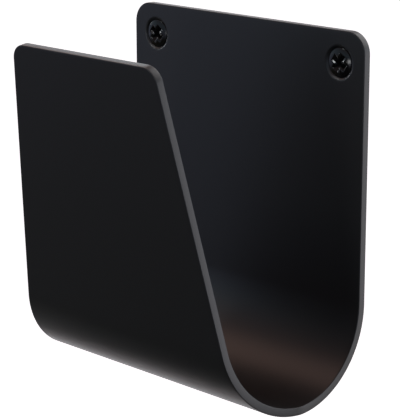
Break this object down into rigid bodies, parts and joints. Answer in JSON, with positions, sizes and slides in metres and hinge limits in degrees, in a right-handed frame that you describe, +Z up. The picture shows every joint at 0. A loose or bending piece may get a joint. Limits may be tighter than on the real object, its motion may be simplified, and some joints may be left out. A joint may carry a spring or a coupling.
{
  "type": "ev connector holder",
  "caption": "Wall holder for an electric vehicle charging connector: one black sheet bent into a deep round hook with a leaning, tapered front leaf, fixed by countersunk screws.",
  "frame": {"origin": "on the back face that lies on the wall, midway between the two screw axes", "axes": "+Y into the wall, +Z up, +X to the right for someone facing the wall"},
  "size_m": [0.12, 0.0954, 0.1365],
  "materials": {
    "powder_coat": "satin black powder coat on steel sheet",
    "screw_black": "glossy black plated steel"
  },
  "bodies": {
    "root": {"holder": "powder_coat", "screws": "screw_black"}
  },
  "joints": []
}
